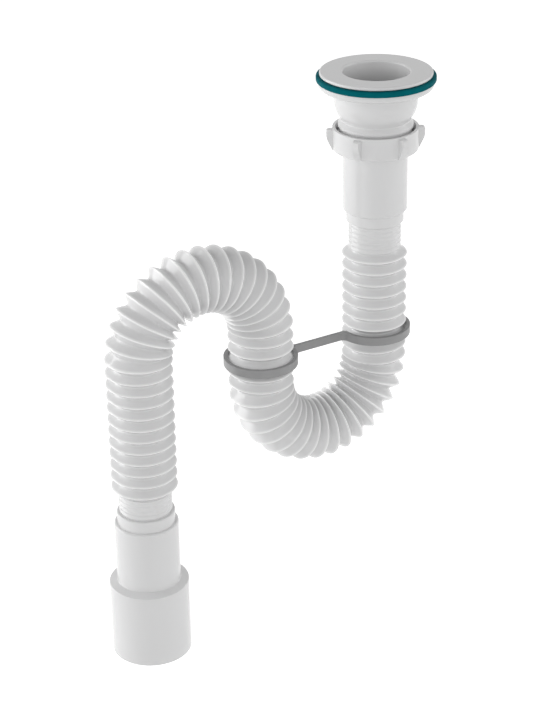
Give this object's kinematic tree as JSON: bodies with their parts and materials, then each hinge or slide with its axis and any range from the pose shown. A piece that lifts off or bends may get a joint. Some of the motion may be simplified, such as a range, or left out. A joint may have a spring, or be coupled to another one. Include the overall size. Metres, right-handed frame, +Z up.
{
  "type": "corrugated trap",
  "caption": "Flexible sink trap: plug-hole waste with gasket and union nut, bellows hose clipped into an S, and a stepped drain cuff.",
  "frame": {"origin": "inlet axis at the level where the sink is clamped, the top of the gasket", "axes": "+Z up along the inlet axis, -X from the inlet leg towards the outlet leg, hose in the XZ plane"},
  "size_m": [0.2309, 0.073, 0.3506],
  "materials": {
    "white_moulding": "satin moulded polypropylene",
    "white_hose": "satin blown polypropylene",
    "teal_rubber": "matt rubber",
    "black_rubber": "matt rubber",
    "grey_clip": "satin moulded plastic",
    "steel": "bright stainless",
    "brass": "turned"
  },
  "bodies": {
    "waste": {"strainer_flange": "white_moulding", "flange_gasket": "teal_rubber", "outlet_body": "white_moulding", "screw_insert": "brass", "strainer_screw": "steel"},
    "hose": {"upper_sleeve": "white_moulding", "union_washer": "black_rubber", "bellows_hose": "white_hose"},
    "nut": {"coupling_nut": "white_moulding"},
    "cuff": {"outlet_cuff": "white_moulding"},
    "clip": {"retaining_clip": "grey_clip"}
  },
  "joints": [
    {"name": "union_travel", "type": "slide", "parent": "waste", "child": "hose", "axis": [0, 0, -1], "range_m": [0, 0.00693]},
    {"name": "nut_turn", "type": "hinge", "parent": "hose", "child": "nut", "pos_m": [0, 0, -0.04], "axis": [0, 0, -1], "range_deg": [0, 1081]},
    {"name": "outlet_stretch", "type": "slide", "parent": "hose", "child": "cuff", "axis": [0, 0, -1], "range_m": [-0.03, 0.03], "deforming": ["bellows_hose"]},
    {"name": "clip_swing", "type": "hinge", "parent": "hose", "child": "clip", "pos_m": [-0.0847, 0, -0.168], "axis": [0, 0, -1], "range_deg": [0, 100]}
  ],
  "couplings": [
    {"joint": "nut_turn", "follows": "union_travel", "rad_per_m": 2721.2}
  ]
}
